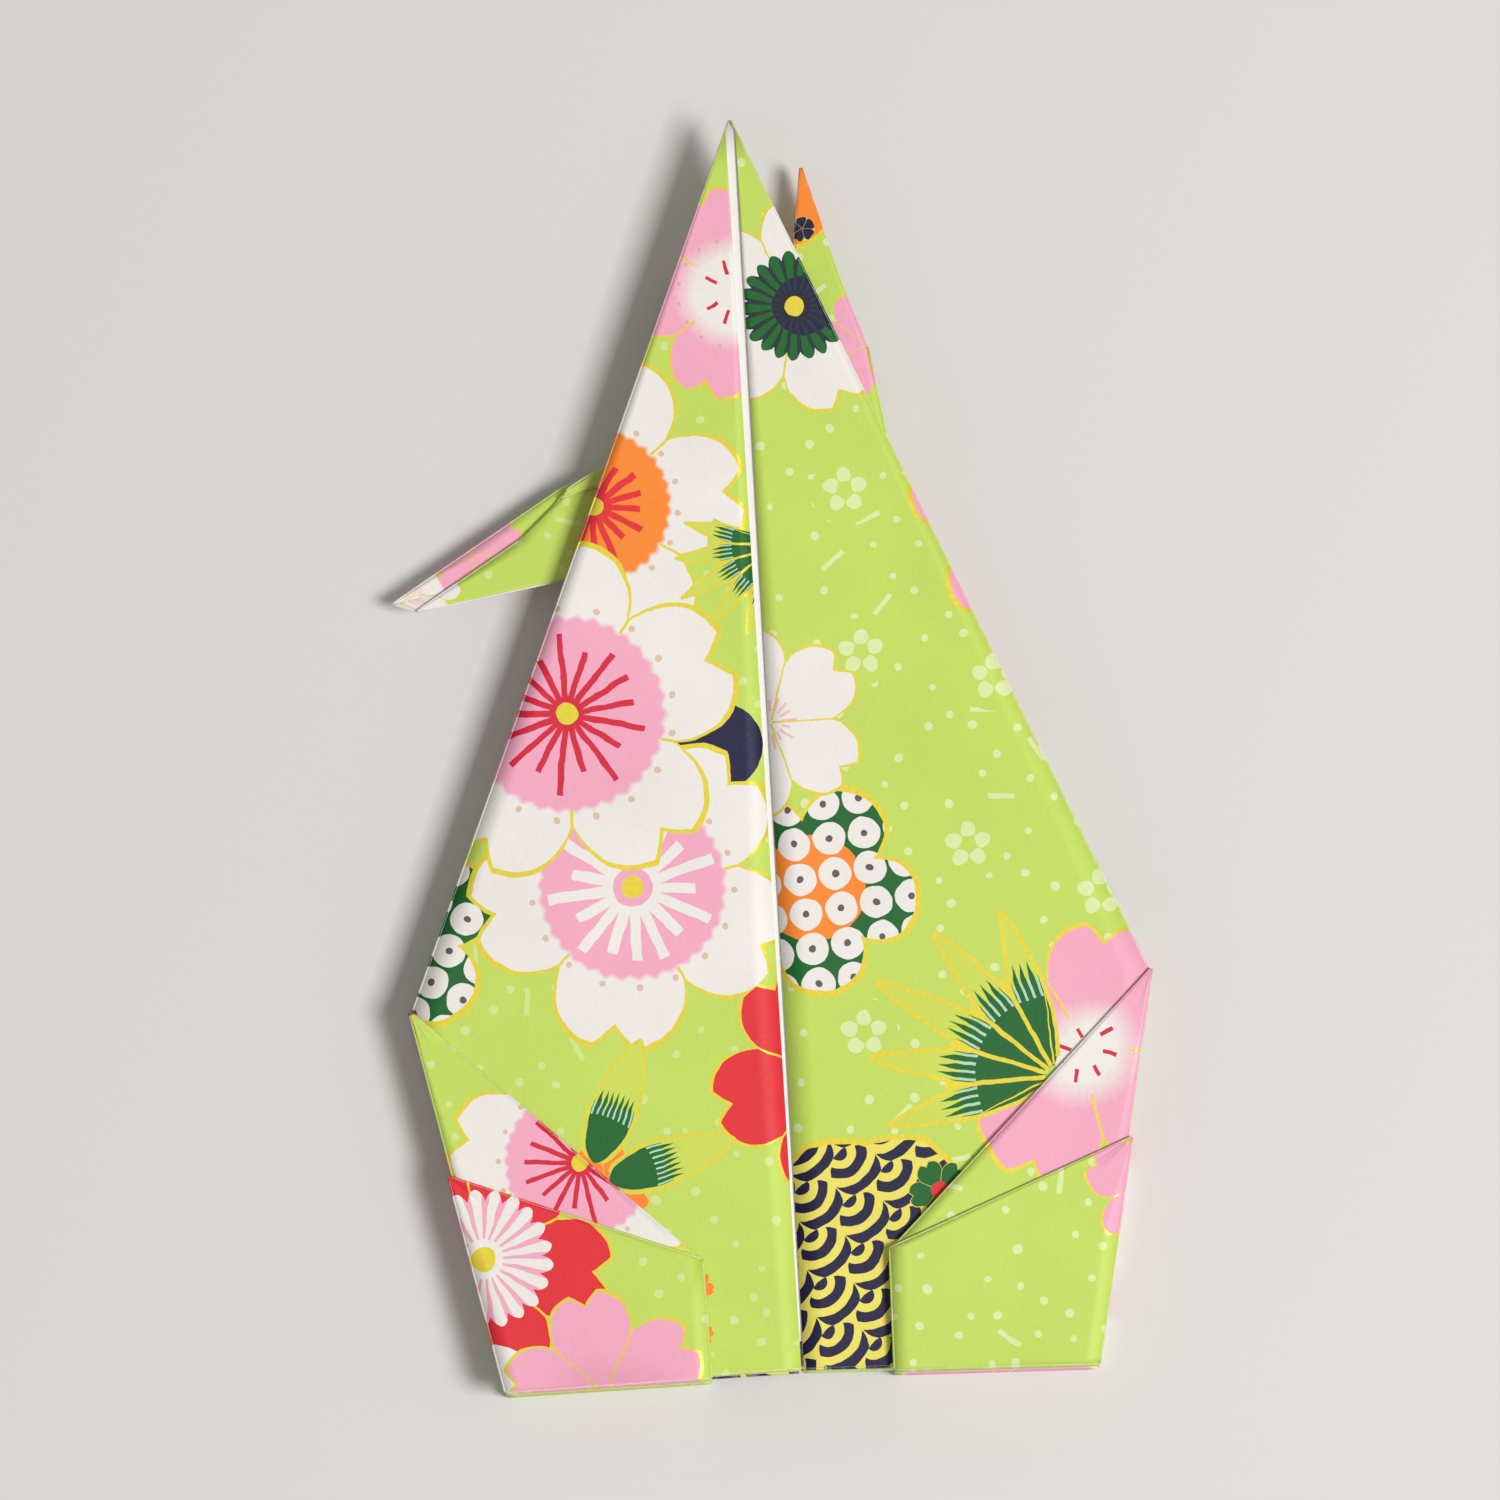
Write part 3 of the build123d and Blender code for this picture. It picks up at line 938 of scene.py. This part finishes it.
# %% The first screen of blossoms
blossoms = [
    ("neck", "face", -0.4, 64.2, 6.7, 178, "pink"),
    ("neck", "face", -9.7, 51.5, 9.4, 3, "orange disc"),
    ("neck", "face", -8.6, 28.0, 10.0, 260, "white stamens"),
    ("neck", "face", 2.8, 15.8, 7.4, 192, "red"),
    ("neck", "face", -11.2, 9.8, 2.8, 60, "orange"),
    ("neck", "face", -6.0, 3.5, 1.0, 60, "orange"),
    ("neck", "face", -6.0, 0.6, 0.8, 20, "orange"),
    ("tail", "face", 3.3, 63.2, 6.9, 294, "white"),
    ("tail", "face", 0.3, 37.6, 5.9, 36, "white"),
    ("tail", "face", 18.5, 16.0, 8.2, 80, "faded pink"),
    ("tail", "face", 8.9, 8.5, 1.9, 45, "green"),
    ("tail", "face", 18.5, 50.4, 9.0, 20, "plain pink"),
    ("tail", "lining flap", 17.9, 16.7, 8.8, 100, "faded pink"),
    ("tail", "leg flap", 22.0, 8.2, 4.4, 160, "plain pink"),
    ("neck", "leg flap", -18.8, 5.9, 7.8, 350, "red"),
    ("neck", "leg flap", -20.4, -2.4, 5.6, 40, "white"),
    ("tail", "leg up", 5.0, 74.6, 8.8, 250, "orange"),
    ("tail", "leg up", 4.5, 67.2, 0.9, 30, "navy"),
    ("tail", "leg up", 8.2, 59.8, 3.4, 30, "plain pink"),
    ("tail", "leg up", 5.0, 74.6, 8.8, 250, "orange", -1),
    ("neck", "leg head", -17.4, 49.3, 3.4, 30, "plain pink", -1),
    ("neck", "leg head", -21.0, 47.0, 2.4, 30, "white", -1),
]
printed_ink, gold_lines = print_blossoms(blossoms, printed_ink, gold_lines)

# %% The second screen, over the first
upper_blossoms = [
    ("neck", "face", -12.0, 38.8, 10.6, 18, "red stamens"),
    ("neck", "lining flap", -12.7, 11.4, 8.0, 165, "red stamens"),
    ("neck", "leg flap", -11.9, -2.6, 6.2, 100, "plain pink"),
]
printed_ink, gold_lines = print_blossoms(upper_blossoms, printed_ink, gold_lines)

# %% Pine sprigs
sprigs = [
    ("tail", "face", 16.4, 15.0, 12.4, 149), ("neck", "face", -12.1, 10.9, 8.6, 66, 1),
    ("neck", "face", -11.5, 10.1, 8.6, 15, 1), ("neck", "face", 1.2, 48.4, 6.6, 206),
]
sprig_place = nearest([spot(*entry) for entry in sprigs])
# A full fan has two narrow leaves on each side of its middle one; a single leaf is broad
fan_leaves, single_leaf = (2.0, 0.082, 0, 1), (0.0, 0.17, 0, 1)
leaf_shape = by_kind(sprig_place, [fan_leaves, single_leaf])[0]
leaf_count, leaf_width, _ = split_up(leaf_shape, "ShaderNodeSeparateColor")
sprig = stamp("pine_sprig", sprig_place, Leaves_each_side=leaf_count, Leaf_width=leaf_width)
printed_ink = print_over(printed_ink, sprig["Bed"], ground)
printed_ink = print_over(printed_ink, sprig["Leaf"], paint(204, 218, 84))
printed_ink = print_over(printed_ink, sprig["Needles"], leaf_green)
printed_ink = print_over(printed_ink, sprig["Frost"], paint(176, 216, 186))
gold_lines = (gold_lines & (1 - sprig["Bed"])) | sprig["Outline"]
print("sprigs:", len(sprigs), " nodes so far:", len(tree.nodes))

# %% Daisies, and the gold over all
daisies = [("tail", "face", 3.3, 63.15, 3.4, 0), ("neck", "leg flap", -18.8, 5.9, 4.2, 0, 1)]
daisy_place = nearest([spot(*entry) for entry in daisies])
daisy = stamp("daisy", daisy_place)
daisy_inks = [[navy, cream], [leaf_green, cream]]
daisy_inks += [[paint(18, 44, 40), pink], [paint(20, 20, 40), cream]]
inner_ink, outer_ink, gap_ink, ring_ink = [by_kind(daisy_place, inks)[0] for inks in daisy_inks]
petal_ink = print_over(inner_ink, daisy["Outer"], outer_ink)
daisy_ink = print_over(gap_ink, daisy["Petals"], petal_ink)
printed_ink = print_over(printed_ink, daisy["Bed"], daisy_ink)
printed_ink = print_over(printed_ink, daisy["Ring"], ring_ink)
gold_lines = (gold_lines & (1 - daisy["Bed"])) | daisy["Core"]
printed_ink = print_over(printed_ink, gold_lines, gold)
print("nodes in the printed finish:", len(tree.nodes))

# %% [markdown]
# ## Worn folds
#
# Ink cracks a little where paper is creased, and the pale paper shows through. The
# mesh says which points lie on a bend, and a noise breaks the wear up along it.

# %% Worn ink along the folds
wear_strength = 0.8
wear = tree.nodes.new("ShaderNodeAttribute")
wear.attribute_name = "fold_wear"
rub = tree.nodes.new("ShaderNodeTexNoise")
rub.noise_dimensions = "2D"
rub.inputs["Scale"].default_value = 1.7
tree.links.new(sheet_uv.outputs["UV"], rub.inputs["Vector"])
rubbed = (Ink(tree, rub.outputs["Fac"]) - 0.45).math("MAXIMUM", 0)
worn = Ink(tree, wear.outputs["Fac"]) * rubbed * wear_strength
printed_ink = print_over(printed_ink, worn, cream)
print("wear read from the mesh's own numbers:", wear.attribute_name)

# %% [markdown]
# ## Paper
#
# The sheet is a soft fibrous paper: a bump of fine fibres, inks that lie a little
# unevenly, and gold that shines more than ink does. The reverse and the cut edges
# are plain off-white. Both finishes use one fibre group.

# %% Fibre group
fibres = bpy.data.node_groups.new("paper_fibres", "ShaderNodeTree")
fibres.interface.new_socket("Place", in_out="INPUT", socket_type="NodeSocketVector")
fibres.interface.new_socket("Fibres", in_out="OUTPUT", socket_type="NodeSocketFloat")
fibres.interface.new_socket("Cloud", in_out="OUTPUT", socket_type="NodeSocketFloat")
entry, leave = fibres.nodes.new("NodeGroupInput"), fibres.nodes.new("NodeGroupOutput")
for name, scale, detail in (("Fibres", 3.2, 5.0), ("Cloud", 0.16, 2.0)):
    noise = fibres.nodes.new("ShaderNodeTexNoise")
    noise.noise_dimensions = "2D"
    noise.inputs["Scale"].default_value = scale
    noise.inputs["Detail"].default_value = detail
    fibres.links.new(entry.outputs["Place"], noise.inputs["Vector"])
    fibres.links.new(noise.outputs["Fac"], leave.inputs[name])
print("fibre group:", [item.name for item in fibres.interface.items_tree])


# %% Two finishes of one sheet
def finish_paper(material, colour, place, shine=None):
    """Base colour dulled by the cloud, fibre bump, and where given a shine for the gold."""
    tree = material.node_tree
    shader = tree.nodes["Principled BSDF"]
    group = tree.nodes.new("ShaderNodeGroup")
    group.node_tree = fibres
    tree.links.new(place, group.inputs["Place"])
    cloud, fine = Ink(tree, group.outputs["Cloud"]), Ink(tree, group.outputs["Fibres"])
    tone = tree.nodes.new("ShaderNodeHueSaturation")
    plug(tree, tone.inputs["Value"], cloud * 0.1 + fine * 0.06 + 0.92)
    plug(tree, tone.inputs["Color"], colour)
    tree.links.new(tone.outputs[0], shader.inputs["Base Color"])
    if shine is None:
        plug(tree, shader.inputs["Roughness"], fine * 0.2 + 0.48)
    else:
        plug(tree, shader.inputs["Roughness"], fine * 0.2 + 0.46 - shine * 0.2)
        plug(tree, shader.inputs["Metallic"], shine * 0.25)
    bump = tree.nodes.new("ShaderNodeBump")
    bump.inputs["Strength"].default_value = 0.12
    bump.inputs["Distance"].default_value = 0.00008
    plug(tree, bump.inputs["Height"], fine)
    tree.links.new(bump.outputs[0], shader.inputs["Normal"])


finish_paper(printed, printed_ink, sheet_uv.outputs["UV"], gold_lines)
plain = bpy.data.materials.new("plain_reverse")
plain.use_nodes = True
plain_uv = plain.node_tree.nodes.new("ShaderNodeUVMap")
plain_uv.uv_map = "sheet"
finish_paper(plain, paint(240, 237, 231), plain_uv.outputs["UV"])
sheet_mesh.materials.append(printed)
sheet_mesh.materials.append(plain)
print("finishes:", [material.name for material in sheet_mesh.materials])

# %% [markdown]
# ## Table, light and camera
#
# The crane lies on a plain pale table. One large soft lamp stands to the lower right,
# so the shadow falls to the left and a little up, and a pale sky fills the rest.

# %% The table
table_mesh = bpy.data.meshes.new("table")
table_mesh.from_pydata([(-1, -1, 0), (1, -1, 0), (1, 1, 0), (-1, 1, 0)], [], [(0, 1, 2, 3)])
table = bpy.data.objects.new("table", table_mesh)
bpy.context.scene.collection.objects.link(table)
table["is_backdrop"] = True
table_finish = bpy.data.materials.new("pale_table")
table_finish.use_nodes = True
table_shader = table_finish.node_tree.nodes["Principled BSDF"]
table_shader.inputs["Base Color"].default_value = (0.70, 0.680, 0.668, 1)
table_shader.inputs["Roughness"].default_value = 0.9
table_mesh.materials.append(table_finish)
print("table half width, m: 1")

# %% Lamp and sky
from mathutils import Matrix, Vector

lamp_side = 0.34
lamp_data = bpy.data.lights.new("soft_window", "AREA")
lamp_data.shape, lamp_data.size, lamp_data.size_y = "RECTANGLE", lamp_side, lamp_side
lamp_data.energy = 9.4
lamp = bpy.data.objects.new("soft_window", lamp_data)
bpy.context.scene.collection.objects.link(lamp)
lamp_place = Vector((0.52, -0.26, 0.88))
lamp_turn = lamp_place.to_track_quat("Z", "Y").to_matrix().to_4x4()
lamp.matrix_world = Matrix.Translation(lamp_place) @ lamp_turn
sky = bpy.data.worlds.new("pale_room")
sky.use_nodes = True
sky.node_tree.nodes["Background"].inputs["Color"].default_value = (1, 0.99, 0.97, 1)
sky.node_tree.nodes["Background"].inputs["Strength"].default_value = 0.33
bpy.context.scene.world = sky
bpy.context.scene.view_settings.view_transform = "Standard"
print("lamp at", tuple(round(v, 2) for v in lamp_place))

# %% Camera
eye, aim = Vector((-0.001, -0.0713, 0.48)), Vector((-0.001, 0.0, 0.002))
back = (eye - aim).normalized()
up_hint = Vector((0.0574, 0.9984, 0))
side_way = up_hint.cross(back).normalized()
up_way = back.cross(side_way)
eye_data = bpy.data.cameras.new("view")
eye_data.lens, eye_data.sensor_width = 190, 36
view = bpy.data.objects.new("view", eye_data)
bpy.context.scene.collection.objects.link(view)
view.matrix_world = Matrix((side_way, up_way, back)).transposed().to_4x4()
view.matrix_world.translation = eye
bpy.context.scene.camera = view
print("camera", round((eye - aim).length, 3), "m away")

# %% Sizes, and the end
sizes = {"cad": cad_box, "visual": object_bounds()}
sizes = {name: [[float(v) for v in corner] for corner in box] for name, box in sizes.items()}
print(sizes)
